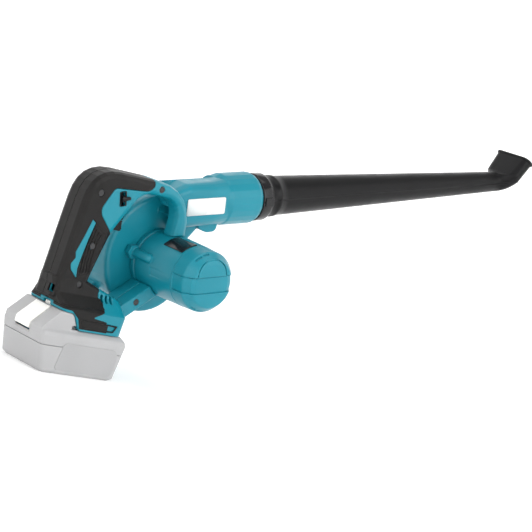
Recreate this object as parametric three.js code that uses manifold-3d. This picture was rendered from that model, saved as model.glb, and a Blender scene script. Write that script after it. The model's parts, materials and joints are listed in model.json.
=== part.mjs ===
// Cordless hand-held leaf blower, in millimetres.
// +Z is up, +X points to the nozzle and +Y to the tool's left. The origin is the centre of the
// battery's flat base. The tool group stands on the battery's deck; the head group has its origin
// on the motor axis and is pitched up, so that its X axis runs along the duct and nozzle.

import * as THREE from 'three';
import { mergeVertices } from 'three/addons/utils/BufferGeometryUtils.js';
import Module from 'manifold-3d';

const wasm = await Module();
wasm.setup();

// Clearances and walls
const gap = 0.3; // between pieces that touch
const tidyLimit = 0.02; // details smaller than this are dropped from each finished solid
const wall = 2.6; // moulded shells
const rubberThickness = 2.4; // grip overmould

// Battery pack
const batteryLength = 96; // flat base, along X
const batteryWidth = 75;
const batteryHeight = 43; // base to deck
const batterySeam = 29; // height of the joint between tray and cover
const heelOverhang = 11; // how far the deck's rear edge stands behind the base
const toeOverhang = 7; // and its front edge in front
const deckRise = 4.4; // crown of the deck, inside its rounded shoulder
const blockHeight = 17; // contact block above the deck
const blockWidth = 61;
const blockBack = 17; // contact block's rear end, from the base's rear edge
const blockFront = 76;
const humpHeight = 23; // top of the hump behind the foot
const cellRadius = 9;
const cellLength = 65;
const cellColumns = 5;
const cellRows = 2;
const buttonWidth = 26;
const buttonTravel = 4;
const bladeY = 12; // contact blades, on each side of the centre plane
const bladeThickness = 0.8;
const bladeLength = 16;

// Foot that takes the battery
const footWidth = 70;
const footFront = 95;
const footSkirt = 5; // the skirt's lower edge above the deck
const railHeight = 3.4;
const railDepth = 3.2;

// Handle: grip, arch and strut
const handleWidth = 36;
const handleTop = 173; // above the deck
const gripRear = 9;
const archBand = 16; // thickness of the arch at the top
const edgeRound = 6; // rounding of the handle's edges
const triggerLow = 112;
const triggerHigh = 135.5;
const triggerHalf = 11;
const triggerRear = 52.5;
const triggerTravel = 6;
const leverX = 57;
const leverZ = 147;
const leverLean = THREE.MathUtils.degToRad(17);
const leverHalf = 2.2; // half width of the lever's neck
const leverTravel = 4; // each way

// Motor and fan, on one axis along Y
const motorX = 151;
const motorZ = 86; // above the deck
const motorRadius = 35;
const motorEnd = 85; // outer end, to the right of the centre plane
const capLength = 30;
const shaftRadius = 4;
const bearingRadius = 11;
const bearingWidth = 7;
const commutatorRadius = 11;
const fanRadius = 42;
const fanWidth = 30;
const bladeCount = 9;

// Volute, to the left of the handle
const voluteRight = 17;
const voluteLeft = 64; // the cover is outside it
const tongueRadius = 45;
const voluteSwell = 21;
const intakeRadius = 27;

// Duct, collar and nozzle, along the head's X axis
const pitch = THREE.MathUtils.degToRad(13);
const outletY = 24;
const outletZ = 62; // above the motor axis
const ductRadius = 24.5;
const collarRadius = 29;
const plateStart = 19;
const plateEnd = 71;
const plateHalf = 9.3;
const collarStart = 76;
const collarEnd = 126;
const outletBore = 22.5;
const nozzleFlange = 26.5;
const nozzleFlangeLength = 16;
const spigotLength = 18;
const nozzleLength = 402; // collar to the bend
const nozzleRoot = 22.7;
const nozzleEnd = 12.2;
const tipAngle = THREE.MathUtils.degToRad(50);
const tipLength = 38;
const tipHalfWidth = 27;
const tipHalfHeight = 8;
const nozzleWall = 1.8;

// ---------------------------------------------------------------------------------------------------------
// Geometry helpers

function solid(geometry) {
  const bare = geometry.clone();
  bare.deleteAttribute('normal');
  bare.deleteAttribute('uv');
  const merged = mergeVertices(bare, 1e-4);
  const position = merged.attributes.position;
  const source = merged.index.array;
  const kept = [];
  const a = new THREE.Vector3();
  const b = new THREE.Vector3();
  const c = new THREE.Vector3();
  let volume = 0;
  for (let i = 0; i < source.length; i += 3) {
    const [p, q, r] = [source[i], source[i + 1], source[i + 2]];
    if (p === q || q === r || r === p) continue;
    kept.push(p, q, r);
    a.fromBufferAttribute(position, p);
    b.fromBufferAttribute(position, q);
    c.fromBufferAttribute(position, r);
    volume += a.dot(b.cross(c));
  }
  if (volume < 0) kept.reverse();
  return new wasm.Manifold(new wasm.Mesh({
    numProp: 3,
    vertProperties: new Float32Array(position.array),
    triVerts: new Uint32Array(kept),
  }));
}

function geometryOf(body) {
  const mesh = body.getMesh();
  const geometry = new THREE.BufferGeometry();
  geometry.setAttribute('position', new THREE.BufferAttribute(mesh.vertProperties, 3));
  geometry.setIndex(new THREE.BufferAttribute(mesh.triVerts, 1));
  geometry.computeVertexNormals();
  return geometry;
}

function join(first, ...others) {
  return others.reduce((sum, other) => sum.add(other), first);
}

function cut(first, ...others) {
  return others.reduce((rest, other) => rest.subtract(other), first);
}

// Cuts between near neighbours can leave crumbs and hair-thin triangles, which go
function cleaned(body) {
  const bodies = body.decompose();
  const main = bodies.reduce((best, other) => (other.volume() > best.volume() ? other : best));
  return main.simplify(tidyLimit);
}

// A closed outline from [x, z, corner radius] entries
function outline(corners) {
  const shape = new THREE.Shape();
  const count = corners.length;
  corners.forEach(([x, z, radius], i) => {
    const corner = new THREE.Vector2(x, z);
    const before = new THREE.Vector2(...corners[(i + count - 1) % count]).sub(corner);
    const after = new THREE.Vector2(...corners[(i + 1) % count]).sub(corner);
    const start = corner.clone().addScaledVector(before.normalize(), radius);
    const end = corner.clone().addScaledVector(after.normalize(), radius);
    if (i === 0) shape.moveTo(start.x, start.y);
    else shape.lineTo(start.x, start.y);
    if (radius > 0) shape.quadraticCurveTo(x, z, end.x, end.y);
  });
  shape.closePath();
  return shape;
}

// An XZ outline made thick along Y, with rounded edges and an optional inset of the whole outline
function slab(shape, yLow, yHigh, round = 0, inset = 0) {
  const geometry = new THREE.ExtrudeGeometry(shape, {
    depth: yHigh - yLow - 2 * round,
    bevelEnabled: round > 0 || inset !== 0,
    bevelThickness: round,
    bevelSize: round,
    bevelOffset: -round - inset,
    bevelSegments: 2,
    curveSegments: 6,
  });
  geometry.rotateX(Math.PI / 2);
  geometry.translate(0, yHigh - round, 0);
  return solid(geometry);
}

function box(x, y, z) {
  const geometry = new THREE.BoxGeometry(x[1] - x[0], y[1] - y[0], z[1] - z[0]);
  geometry.translate((x[0] + x[1]) / 2, (y[0] + y[1]) / 2, (z[0] + z[1]) / 2);
  return solid(geometry);
}

// A straight bar in the XZ plane, leaning back from the vertical
function bar(x, z, halfWidth, halfLength, lean, yLow, yHigh) {
  const geometry = new THREE.BoxGeometry(2 * halfWidth, yHigh - yLow, 2 * halfLength);
  geometry.rotateY(-lean);
  geometry.translate(x, (yLow + yHigh) / 2, z);
  return solid(geometry);
}

// A cylinder along Y at (x, z)
function rod(radius, yLow, yHigh, x = 0, z = 0, sides = 24) {
  const geometry = new THREE.CylinderGeometry(radius, radius, yHigh - yLow, sides);
  geometry.translate(x, (yLow + yHigh) / 2, z);
  return solid(geometry);
}

// A body turned about Y from [radius, y] points
function turned(profile, segments = 40) {
  const points = profile.map(([radius, y]) => new THREE.Vector2(radius, y));
  if (profile[0][0] > 0) points.push(points[0].clone());
  return solid(new THREE.LatheGeometry(points, segments));
}

// A ring of points with round corners: u and v are its half sizes along two directions
function ring(centre, uAxis, vAxis, u, v, round, perCorner = 3) {
  const points = [];
  const signs = [[1, 1], [-1, 1], [-1, -1], [1, -1]];
  signs.forEach(([su, sv], quarter) => {
    for (let i = 0; i <= perCorner; i++) {
      const angle = (quarter + i / perCorner) * Math.PI / 2;
      points.push(centre.clone()
        .addScaledVector(uAxis, su * (u - round) + round * Math.cos(angle))
        .addScaledVector(vAxis, sv * (v - round) + round * Math.sin(angle)));
    }
  });
  return points;
}

// A closed body through rings that all have the same number of points
function loft(rings) {
  const perRing = rings[0].length;
  const vertices = rings.flat();
  const centre = (points) => {
    return points.reduce((sum, p) => sum.add(p), new THREE.Vector3()).divideScalar(perRing);
  };
  vertices.push(centre(rings[0]), centre(rings[rings.length - 1]));
  const firstCentre = vertices.length - 2;
  const lastCentre = vertices.length - 1;
  const lastRing = (rings.length - 1) * perRing;
  const faces = [];
  for (let i = 0; i < perRing; i++) {
    const next = (i + 1) % perRing;
    faces.push(firstCentre, next, i);
    faces.push(lastCentre, lastRing + i, lastRing + next);
    for (let level = 0; level < rings.length - 1; level++) {
      const low = level * perRing;
      const high = low + perRing;
      faces.push(low + i, low + next, high + next);
      faces.push(low + i, high + next, high + i);
    }
  }
  const geometry = new THREE.BufferGeometry().setFromPoints(vertices);
  geometry.setIndex(faces);
  return solid(geometry);
}

const alongX = new THREE.Vector3(1, 0, 0);
const alongY = new THREE.Vector3(0, 1, 0);
const alongZ = new THREE.Vector3(0, 0, 1);

// A loft whose sections lie flat: [z, x low, x high, y half width, corner radius]
function tower(levels) {
  return loft(levels.map(([z, low, high, half, round]) => ring(
    new THREE.Vector3((low + high) / 2, 0, z), alongX, alongY, (high - low) / 2, half, round)));
}

// A loft whose sections stand across X: [x, y centre, z centre, y half, z half, corner radius]
function duct(stations) {
  return loft(stations.map(([x, y, z, halfY, halfZ, round]) => ring(
    new THREE.Vector3(x, y, z), alongY, alongZ, halfY, halfZ, round, 6)));
}

// A helical spring, its axis along +Z from the origin
function spring(radius, length, turns, wire) {
  class Helix extends THREE.Curve {
    getPoint(t, target = new THREE.Vector3()) {
      const angle = t * turns * 2 * Math.PI;
      return target.set(radius * Math.cos(angle), radius * Math.sin(angle), wire + t * (length - 2 * wire));
    }
  }
  const section = new THREE.Shape();
  section.absarc(0, 0, wire, 0, 2 * Math.PI);
  return new THREE.ExtrudeGeometry(section, {
    steps: turns * 9, curveSegments: 3, extrudePath: new Helix(), bevelEnabled: false,
  });
}

function wire(points, radius, steps) {
  const section = new THREE.Shape();
  section.absarc(0, 0, radius, 0, 2 * Math.PI);
  const path = new THREE.CatmullRomCurve3(points.map((p) => new THREE.Vector3(...p)));
  return solid(new THREE.ExtrudeGeometry(section, {
    steps, curveSegments: 3, extrudePath: path, bevelEnabled: false,
  }));
}

// ---------------------------------------------------------------------------------------------------------
// Materials and scene graph

function finish(color, roughness, metalness = 0) {
  return new THREE.MeshStandardMaterial({ color, roughness, metalness });
}

const shellPlastic = finish(0x0f8a9d, 0.42);
const rubber = finish(0x35332f, 0.8);
const blackPlastic = finish(0x222222, 0.45);
const packPlastic = finish(0xc4c4c4, 0.5);
const buttonPlastic = finish(0xf3f1ea, 0.45);
const platePlastic = finish(0xeef0ee, 0.4);
const steel = finish(0x9a9ca0, 0.35, 0.9);
const laminations = finish(0x6d6f73, 0.5, 0.8);
const copper = finish(0xb87333, 0.35, 0.9);
const carbon = finish(0x2b2b2d, 0.7);
const brass = finish(0xc9a24a, 0.35, 0.9);
const cellWrap = finish(0x2f6fa8, 0.4);

const blower = new THREE.Group();
blower.position.x = -batteryLength / 2;
const battery = new THREE.Group();
const tool = new THREE.Group();
tool.position.z = batteryHeight;
const head = new THREE.Group();
head.position.set(motorX, 0, motorZ);
head.rotation.y = -pitch;
tool.add(head);
blower.add(battery, tool);

head.updateMatrix();
const headInTool = head.matrix.clone();

function inTool(body) {
  const geometry = geometryOf(body);
  geometry.applyMatrix4(headInTool);
  return solid(geometry);
}

function inHead(body) {
  const geometry = geometryOf(body);
  geometry.applyMatrix4(headInTool.clone().invert());
  return solid(geometry);
}

function add(group, name, body, material) {
  const mesh = new THREE.Mesh(geometryOf(cleaned(body)), material);
  mesh.name = name;
  group.add(mesh);
  return mesh;
}

// ---------------------------------------------------------------------------------------------------------
// Handle, foot and strut: one outer form, split on the centre plane

const halfHandle = handleWidth / 2;
const farSide = 200; // beyond every piece, for cutting boxes
const archInner = handleTop - archBand;
const archLeft = motorX - 15; // rear face of the arch's front leg
const archRight = motorX + 4;

const handleOutline = outline([
  [gripRear - 5, 32, 0],
  [gripRear - 3, 62, 16],
  [gripRear, 115, 16],
  [gripRear + 4, handleTop, 37],
  [archRight - 4, handleTop, 52],
  [archRight, motorZ + 20, 0],
  [archLeft, motorZ + 20, 0],
  [archLeft, archInner, 26],
  [82, archInner, 14],
  [72, 138, 5],
  [56, 108, 9],
  [47, 68, 11],
  [44, 50, 6],
  [50, 32, 0],
]);

const strutOutline = outline([
  [72, 16, 0],
  [150, 83, 0],
  [160, 72, 0],
  [82, 5, 0],
]);

function footForm(inset) {
  const half = footWidth / 2;
  return tower([
    [footSkirt - 3 + inset, 12 + inset, footFront - 2 - inset, half - inset, 8],
    [26, 12 + inset, footFront - inset, half - inset, 8],
    [40 - inset, gripRear - 3 + inset, footFront - 4 - inset, halfHandle + 3 - inset, 8],
    [54 - inset, gripRear - 6 + inset, 48 - inset, halfHandle - inset, 10],
  ]);
}

// Everything behind and below the foot's skirt, which rises from the deck to the hump
const skirtOutline = outline([
  [-40, -20, 0],
  [footFront + 40, -20, 0],
  [footFront + 40, footSkirt, 0],
  [36, footSkirt, 3],
  [30, 15, 5],
  [26, humpHeight - 1, 4],
  [-40, humpHeight + 2, 0],
]);
const belowSkirt = slab(skirtOutline, -farSide, farSide);

function handleForm(inset) {
  const round = Math.max(edgeRound - inset, 0.5);
  const grip = slab(handleOutline, -halfHandle + inset, halfHandle - inset, round, inset);
  const strut = slab(strutOutline, -halfHandle + inset, voluteRight - gap - inset, 1, inset);
  return cut(join(grip, strut, footForm(inset)), belowSkirt);
}

// Socket for the battery's contact block, with a rail on each side
const blockHalf = blockWidth / 2;
const socketTop = blockHeight + 0.5;
const railLow = 5.3;
const socket = cut(
  box([-farSide, blockFront + 10], [-blockHalf - 0.5, blockHalf + 0.5], [-1, socketTop]),
  ...[-1, 1].map((side) => {
    const faces = [side * (blockHalf + 2), side * (blockHalf + 0.5 - railDepth)].sort((p, q) => p - q);
    return box([blockBack + 12, blockFront - 2], faces, [railLow, railLow + railHeight]);
  }),
);

// The cavity inside the housing stops above the socket's roof
const cavity = cut(
  handleForm(wall + rubberThickness + 0.4),
  box([-40, farSide], [-farSide, farSide], [-20, socketTop + wall]),
);

// The rubber covers the back and top of the grip, down to the foot's shoulders
const rubberOutline = outline([
  [-30, humpHeight + 3.5, 0],
  [66, humpHeight + 7, 0],
  [58, 42, 4],
  [70, 80, 0],
  [60, 104, 0],
  [36, 126, 3],
  [34, 133, 3],
  [44, 156, 4],
  [89, 160, 4],
  [94, 167, 3],
  [94, 200, 0],
  [-30, 200, 0],
]);
const rubberRegion = slab(rubberOutline, -farSide, farSide);
const rubberRegionTrim = slab(rubberOutline, -farSide, farSide, 0, gap);
const handleOuter = handleForm(0);
const underRubber = handleForm(rubberThickness + gap);
const rubberLayer = cut(handleOuter.intersect(rubberRegionTrim), handleForm(rubberThickness));
const housingForm = cut(handleOuter, cut(rubberRegion, underRubber));

// Openings
const triggerWindow = box(
  [40, 90],
  [-triggerHalf - gap, triggerHalf + gap],
  [triggerLow - gap, triggerHigh + gap],
);
const leverSlot = bar(
  leverX, leverZ, leverHalf + gap, 3 + leverTravel + gap, leverLean, -halfHandle - 2, -halfHandle + 8);
const strapHole = box([-10, 12], [-14, -6], [37, 45]);
const latchTop = humpHeight + 3; // roof of the channel that the battery's hook runs in
const latchChannel = box([-farSide, 21], [-6.3, 6.3], [humpHeight - 8, latchTop]);
const motorSeat = rod(motorRadius + gap, -farSide, voluteRight + 1, motorX, motorZ, 48);
const vents = [0, 1, 2, 3].map((i) => box([56.4 + 6 * i, 59.4 + 6 * i], [-24, -13], [26, 44]));
const leadHoles = [-6, 6].map((y) => box([78, 82], [y - 2, y + 2], [socketTop - 1, socketTop + wall + 6]));

// ---------------------------------------------------------------------------------------------------------
// Volute and duct, in the head's frame

function voluteRadius(travel) {
  const swell = Math.sin(Math.min(travel / 200, 1) * Math.PI / 2) ** 2;
  return tongueRadius + voluteSwell * swell + 0.08 * Math.max(travel - 200, 0);
}

// The spiral runs from the tongue, down the front, under, up the back and over the top into the duct
function voluteOutline(inset) {
  const shape = new THREE.Shape();
  const start = THREE.MathUtils.degToRad(25);
  const step = 8;
  const sweep = 288;
  shape.moveTo(60, outletZ + ductRadius - inset);
  shape.lineTo(60, outletZ - ductRadius + inset);
  for (let travel = 0; travel <= sweep; travel += step) {
    const angle = start - THREE.MathUtils.degToRad(travel);
    const radius = voluteRadius(travel) - inset;
    shape.lineTo(radius * Math.cos(angle), radius * Math.sin(angle));
  }
  shape.closePath();
  return shape;
}

function ductForm(inset) {
  const right = -3 + inset;
  const left = voluteLeft - inset;
  const high = outletZ + ductRadius - inset;
  const low = outletZ - ductRadius + inset;
  const middle = (right + left) / 2;
  const half = (left - right) / 2;
  const ductHalf = ductRadius + 2.5 - inset;
  return duct([
    [-4 + inset, middle, (high + low) / 2 - 4, half, (high - low) / 2 - 4, 8],
    [22, middle - 2, outletZ, half - 2, ductRadius - inset, 10],
    [60, outletY, outletZ, ductHalf, ductRadius - inset, 15],
    [collarStart + 4, outletY, outletZ, ductHalf - 1, ductRadius + 1 - inset, 20],
  ]);
}

function airPath() {
  const left = voluteLeft - wall;
  const right = voluteRight + wall;
  const halfStart = (left - right) / 2;
  const half = ductRadius - wall;
  return duct([
    [-8, (left + right) / 2, outletZ - 6, halfStart, half - 6, 6],
    [14, (left + right) / 2, outletZ, halfStart, half, 8],
    [48, outletY + 7, outletZ, half + 2, half, 14],
    [collarStart, outletY, outletZ, outletBore, outletBore, outletBore],
    [collarEnd + 5, outletY, outletZ, outletBore, outletBore, outletBore],
  ]);
}

const collar = duct([
  [collarStart - 4, outletY, outletZ, ductRadius + 1, ductRadius, ductRadius],
  [collarStart + 6, outletY, outletZ, collarRadius, collarRadius, collarRadius],
  [collarEnd - 5, outletY, outletZ, collarRadius, collarRadius, collarRadius],
  [collarEnd, outletY, outletZ, collarRadius - 2.5, collarRadius - 2.5, collarRadius - 2.5],
]);
const hookLoop = slab(outline([
  [48, outletZ - ductRadius + 6, 0],
  [50, outletZ - ductRadius - 5, 3],
  [62, outletZ - ductRadius - 10, 3],
  [74, outletZ - ductRadius - 9, 4],
  [78, outletZ - ductRadius + 6, 0],
]), outletY - 12, outletY - 4);

const voluteBody = slab(voluteOutline(0), voluteRight, voluteLeft, 4);
const voluteSquare = slab(voluteOutline(0), voluteRight + 20, voluteLeft);
const voluteHollow = slab(voluteOutline(wall), voluteRight + wall, voluteLeft + 5);
const bearingBoss = rod(bearingRadius + 3, voluteRight - 9, voluteRight + 2);
const bearingBore = rod(
  bearingRadius + gap, voluteRight - 9 - gap, voluteRight - 9 + bearingWidth + gap, 0, 0, 32);
const shaftHole = rod(shaftRadius + 1, -farSide, farSide);
const voluteForm = cut(
  join(voluteBody, voluteSquare, ductForm(0), collar, hookLoop),
  voluteHollow,
  airPath(),
);
const handleClearance = slab(handleOutline, -farSide, voluteRight, 0, -gap);

// ---------------------------------------------------------------------------------------------------------
// Fixed pieces of the tool

const rightSide = box([-farSide, 4 * farSide], [-farSide, -gap / 2], [-farSide, 2 * farSide]);
const leftSide = box([-farSide, 4 * farSide], [gap / 2, farSide], [-farSide, 2 * farSide]);

// Housing screws run along Y into the left half
const screwPlaces = [
  [33, 50],
  [36, 92],
  [28, 148],
  [104, handleTop - archBand / 2],
  [113, 42],
];
const screwHead = 3.3;
const screwShank = 1.7;
const screwHeadDepth = 5;
const screwEnd = voluteRight - 5;
const screwHoles = screwPlaces.map(([x, z]) => join(
  rod(screwShank + gap, -farSide, screwEnd + 0.5, x, z, 12),
  rod(screwHead + gap, -farSide, -halfHandle + screwHeadDepth + gap, x, z, 12),
));
const screwPosts = screwPlaces.map(([x, z]) => rod(4.6, -halfHandle + 3, halfHandle - 3, x, z, 12));

const hollowForm = cut(
  join(cut(housingForm, cavity), ...screwPosts.map((post) => post.intersect(housingForm))),
  socket,
  triggerWindow,
  motorSeat,
  latchChannel,
  ...leadHoles,
  ...screwHoles,
);
const voluteClearance = inTool(slab(voluteOutline(-gap), voluteRight - gap, voluteLeft + 10));
const ductClearance = inTool(ductForm(-gap));

// Rubber pads let into the foot's two sides
const padOutline = outline([[35, 17, 1], [39, 8.5, 1], [80, 8.5, 1], [84, 16, 1]]);
const footHalf = footWidth / 2;
const padDepth = 1.2;

function pad(side, grow) {
  const faces = [side * (footHalf + 0.2 + grow), side * (footHalf - padDepth - grow)].sort((p, q) => p - q);
  return slab(padOutline, faces[0], faces[1], 0, -grow);
}

const rightForm = cut(hollowForm.intersect(rightSide), pad(-1, gap), leverSlot, strapHole, ...vents);
const leftForm = cut(hollowForm.intersect(leftSide), pad(1, gap), voluteClearance, ductClearance);
add(tool, 'right_housing', rightForm, shellPlastic);
add(tool, 'left_housing', leftForm, shellPlastic);
add(tool, 'grip_rubber_right', cut(rubberLayer.intersect(rightSide), strapHole, ...screwHoles), rubber);
add(tool, 'grip_rubber_left', rubberLayer.intersect(leftSide), rubber);
add(tool, 'foot_pad_right', pad(-1, 0), rubber);
add(tool, 'foot_pad_left', pad(1, 0), rubber);

screwPlaces.forEach(([x, z], i) => {
  const body = turned([
    [0, -halfHandle + 0.6],
    [screwHead, -halfHandle + 0.6],
    [screwHead, -halfHandle + screwHeadDepth - 1],
    [screwShank, -halfHandle + screwHeadDepth],
    [screwShank, screwEnd],
    [0, screwEnd],
  ], 12);
  add(tool, `housing_screw_${i + 1}`, body, steel).position.set(x, 0, z);
});

// ---------------------------------------------------------------------------------------------------------
// Fan case, in the head's frame

const coverThickness = 3;
const grilleThickness = 4;
const coverInner = voluteLeft + gap;
const earRadius = 5;
const ears = [-60, -150, 130].map((degrees) => {
  const angle = THREE.MathUtils.degToRad(degrees);
  const reach = voluteRadius(25 - degrees + (degrees > 25 ? 360 : 0)) + 2.5;
  return [reach * Math.cos(angle), reach * Math.sin(angle)];
});
const earScrew = 1.6;
const housingEars = ears.map(([x, z]) => rod(earRadius, voluteLeft - 20, voluteLeft, x, z, 16));
const coverEars = ears.map(([x, z]) => rod(earRadius, coverInner, coverInner + coverThickness, x, z, 16));
const earHoles = ears.map(([x, z]) => rod(earScrew + gap, voluteLeft - 14, farSide, x, z, 10));

const fanCase = cut(
  join(cut(join(voluteForm, ...housingEars), voluteHollow), bearingBoss),
  bearingBore,
  shaftHole,
  inHead(handleClearance),
  ...earHoles,
);
add(head, 'volute_housing', fanCase, shellPlastic);

const bellMouth = turned([
  [intakeRadius, voluteLeft - 6],
  [intakeRadius + 2.2, voluteLeft - 6],
  [intakeRadius + 5, coverInner + 1],
  [intakeRadius + 5, coverInner + coverThickness],
  [intakeRadius, coverInner + coverThickness],
], 36);
const cover = cut(
  join(slab(voluteOutline(0), coverInner, coverInner + coverThickness), ...coverEars),
  rod(intakeRadius + 1, 0, farSide, 0, 0, 36),
  ...earHoles,
);
add(head, 'volute_cover', join(cover, bellMouth), shellPlastic);

const grilleBack = coverInner + coverThickness + gap;
const grilleFront = grilleBack + grilleThickness;
const grilleDisc = turned([
  [0, grilleBack],
  [intakeRadius + 8, grilleBack],
  [intakeRadius + 8, grilleFront - 2],
  [intakeRadius + 5, grilleFront],
  [0, grilleFront],
], 36);
const slotPitch = 7.4;
const slotHalf = 2.3;
const grilleSlots = [-3, -2, -1, 0, 1, 2, 3].map((i) => {
  const reach = Math.sqrt((intakeRadius - 1) ** 2 - (Math.abs(i * slotPitch) + slotHalf) ** 2);
  return box([i * slotPitch - slotHalf, i * slotPitch + slotHalf], [0, farSide], [-reach, reach]);
});
add(head, 'intake_grille', cut(grilleDisc, ...grilleSlots), blackPlastic);

ears.forEach(([x, z], i) => {
  const top = coverInner + coverThickness;
  const body = turned([
    [0, voluteLeft - 13],
    [earScrew, voluteLeft - 13],
    [earScrew, top + gap],
    [3.4, top + gap],
    [3.4, top + gap + 2],
    [0, top + gap + 2],
  ], 12);
  add(head, `cover_screw_${i + 1}`, body, steel).position.set(x, 0, z);
});

const plateBack = -3 - gap;
const ductPlate = slab(outline([
  [plateStart, outletZ + plateHalf, 2],
  [plateEnd, outletZ + plateHalf, 2],
  [plateEnd, outletZ - plateHalf, 2],
  [plateStart, outletZ - plateHalf, 2],
]), plateBack - 0.6, plateBack);
add(head, 'duct_plate', ductPlate, platePlastic);

// ---------------------------------------------------------------------------------------------------------
// Motor

const motorInner = motorRadius - 3;
const capStart = -motorEnd + capLength;
const capWall = 3;
const motorTube = turned([
  [motorInner, capStart + gap],
  [motorRadius, capStart + gap],
  [motorRadius, voluteRight - gap],
  [motorInner, voluteRight - gap],
], 48);
const bossReach = 38;
const bossAngle = THREE.MathUtils.degToRad(160);
const motorBoss = rod(
  5, -16, voluteRight - gap, bossReach * Math.cos(bossAngle), bossReach * Math.sin(bossAngle), 16);
const motorLug = rod(
  8.5, 8, voluteRight - gap, bossReach * Math.cos(bossAngle), bossReach * Math.sin(bossAngle), 6);
const motorClear = rod(motorInner, -farSide, farSide, 0, 0, 48);
add(head, 'motor_housing', join(motorTube, cut(join(motorBoss, motorLug), motorClear)), shellPlastic);

const rearBearingY = -motorEnd + capWall + 1;
const capOuter = turned([
  [0, capStart],
  [motorRadius, capStart],
  [motorRadius, -motorEnd + 13],
  [motorRadius - 6, -motorEnd + 3],
  [motorRadius - 11, -motorEnd],
  [0, -motorEnd],
], 48);
const capInner = turned([
  [0, capStart + 5],
  [motorInner, capStart + 5],
  [motorInner, -motorEnd + 14],
  [motorInner - 5.5, -motorEnd + 5],
  [motorInner - 11, -motorEnd + capWall],
  [0, -motorEnd + capWall],
], 48);
const capBoss = rod(bearingRadius + 3, -motorEnd + 1, rearBearingY + bearingWidth);
const capBore = rod(bearingRadius + gap, rearBearingY - gap, 0, 0, 0, 32);
const capVents = [-26, -9, 9, 26].flatMap((degrees) => [90, 270].map((side) => {
  const slot = new THREE.BoxGeometry(7, 2.4, 12);
  slot.translate(0, capStart - 9, motorRadius - 3);
  slot.rotateY(THREE.MathUtils.degToRad(degrees + side - 90));
  return solid(slot);
}));
add(head, 'motor_end_cap', cut(join(cut(capOuter, capInner), capBoss), capBore, ...capVents), shellPlastic);

const plateRing = turned([
  [motorRadius + gap, capStart + 3],
  [motorRadius + gap + 0.5, capStart + 3],
  [motorRadius + gap + 0.5, -halfHandle - 4],
  [motorRadius + gap, -halfHandle - 4],
], 48);
const plateWedge = slab(outline([[0, 0, 0], [-12, 60, 0], [34, 60, 0]]), -farSide, farSide);
add(head, 'motor_plate', plateRing.intersect(plateWedge), blackPlastic);

const yokeRing = turned([
  [27, -50],
  [motorInner - gap, -50],
  [motorInner - gap, -2],
  [27, -2],
], 36);
add(head, 'motor_yoke', yokeRing, steel);

function bearing() {
  const half = bearingWidth / 2;
  return turned([
    [shaftRadius + 0.06, -half],
    [bearingRadius, -half],
    [bearingRadius, half],
    [shaftRadius + 0.06, half],
  ], 32);
}
add(head, 'front_bearing', bearing(), steel).position.y = voluteRight - 9 + bearingWidth / 2;
add(head, 'rear_bearing', bearing(), steel).position.y = rearBearingY + bearingWidth / 2;

const commutatorLow = -66;
const commutatorHigh = -54;
const brushPlate = turned([
  [commutatorRadius + 2.5, commutatorLow + 1],
  [motorInner - gap, commutatorLow + 1],
  [motorInner - gap, commutatorHigh - 1],
  [commutatorRadius + 2.5, commutatorHigh - 1],
], 32);
const brushHalf = 2.5;
const brushStart = commutatorRadius + gap;
const brushEnd = brushStart + 12;

function brushForm(side, grow) {
  const faces = [side * (brushStart - grow), side * (brushEnd + grow)].sort((p, q) => p - q);
  const middle = (commutatorLow + commutatorHigh) / 2;
  return box(
    [-brushHalf - grow, brushHalf + grow],
    [middle - brushHalf - grow, middle + brushHalf + grow],
    faces,
  );
}
add(head, 'brush_plate', cut(brushPlate, brushForm(1, gap), brushForm(-1, gap)), blackPlastic);
add(head, 'brush_upper', brushForm(1, 0), carbon);
add(head, 'brush_lower', brushForm(-1, 0), carbon);

// ---------------------------------------------------------------------------------------------------------
// Fan and rotor: they turn together

const fanBack = voluteRight + wall + 3;
const fanFront = fanBack + fanWidth;
const shaftBore = shaftRadius + gap;
add(head, 'motor_shaft', rod(shaftRadius, rearBearingY + 0.5, fanFront + 4, 0, 0, 32), steel);

const core = turned([
  [shaftBore, -48],
  [17, -48],
  [17, -44],
  [25.5, -44],
  [25.5, -8],
  [17, -8],
  [17, -4],
  [shaftBore, -4],
], 32);
const coreSlots = Array.from({ length: 10 }, (_, i) => {
  const slot = new THREE.BoxGeometry(2.6, 60, 6);
  slot.translate(0, -26, 24);
  slot.rotateY((i + 0.5) * 2 * Math.PI / 10);
  return solid(slot);
});
add(head, 'armature', cut(core, ...coreSlots), laminations);
const commutator = turned([
  [shaftBore, commutatorLow],
  [commutatorRadius, commutatorLow],
  [commutatorRadius, commutatorHigh],
  [shaftBore, commutatorHigh],
], 32);
add(head, 'commutator', commutator, copper);

const bladeCurve = new THREE.Shape();
bladeCurve.absarc(22, 26, 26.7, THREE.MathUtils.degToRad(-103), THREE.MathUtils.degToRad(-50), false);
bladeCurve.absarc(22, 26, 25.1, THREE.MathUtils.degToRad(-50), THREE.MathUtils.degToRad(-103), true);
const bladeScale = fanRadius / 41.5;
const blades = Array.from({ length: bladeCount }, (_, i) => {
  const geometry = new THREE.ExtrudeGeometry(bladeCurve, {
    depth: fanWidth - 5, bevelEnabled: false, curveSegments: 4,
  });
  geometry.scale(bladeScale, bladeScale, 1);
  geometry.rotateX(Math.PI / 2);
  geometry.translate(0, fanFront - 4, 0);
  geometry.rotateY(i * 2 * Math.PI / bladeCount);
  return solid(geometry);
});
const fanHub = turned([
  [shaftBore, fanBack],
  [fanRadius, fanBack],
  [fanRadius, fanBack + 2],
  [14, fanBack + 5],
  [9, fanFront - 4],
  [shaftBore, fanFront - 4],
], 36);
add(head, 'impeller', join(fanHub, ...blades), blackPlastic);
const nutBody = cut(
  rod(7, fanFront - 4 + gap, fanFront + 2, 0, 0, 6),
  rod(shaftRadius + gap, 0, farSide, 0, 0, 24),
);
add(head, 'impeller_nut', nutBody, steel);

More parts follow.
